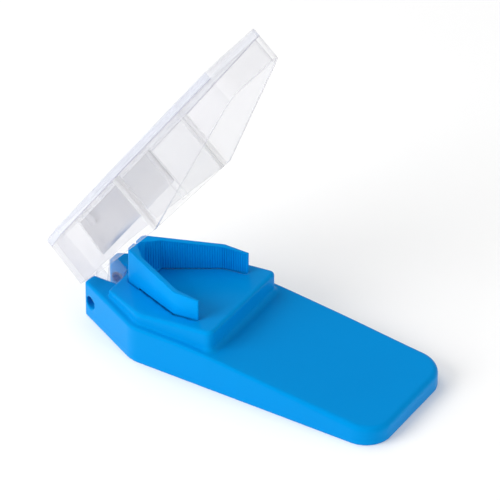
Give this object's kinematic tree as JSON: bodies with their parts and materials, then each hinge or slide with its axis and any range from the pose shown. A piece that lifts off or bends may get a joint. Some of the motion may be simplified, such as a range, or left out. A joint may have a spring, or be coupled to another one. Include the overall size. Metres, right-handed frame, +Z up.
{
  "type": "pill splitter",
  "caption": "Pill splitter with a moulded base, a V-shaped pill grip on a tilted deck, and a clear hinged lid that holds a straight blade.",
  "frame": {"origin": "on the resting plane, under the middle of the base's cross rib, in the plane of the blade", "axes": "+X from the hinge end to the thumb end, +Y across, +Z up"},
  "size_m": [0.0983, 0.035, 0.0894],
  "materials": {
    "blue_plastic": "moulded gloss",
    "grip_plastic": "moulded satin",
    "clear_plastic": "clear polished",
    "blade_steel": "satin"
  },
  "bodies": {
    "base_body": {"base": "blue_plastic", "pill_grip": "grip_plastic"},
    "lid_body": {"lid": "clear_plastic", "blade": "blade_steel"}
  },
  "joints": [
    {"name": "lid_hinge", "type": "hinge", "parent": "base_body", "child": "lid_body", "pos_m": [-0.0394, 0, 0.005], "axis": [0, -1, 0], "range_deg": [-49, 61]}
  ]
}
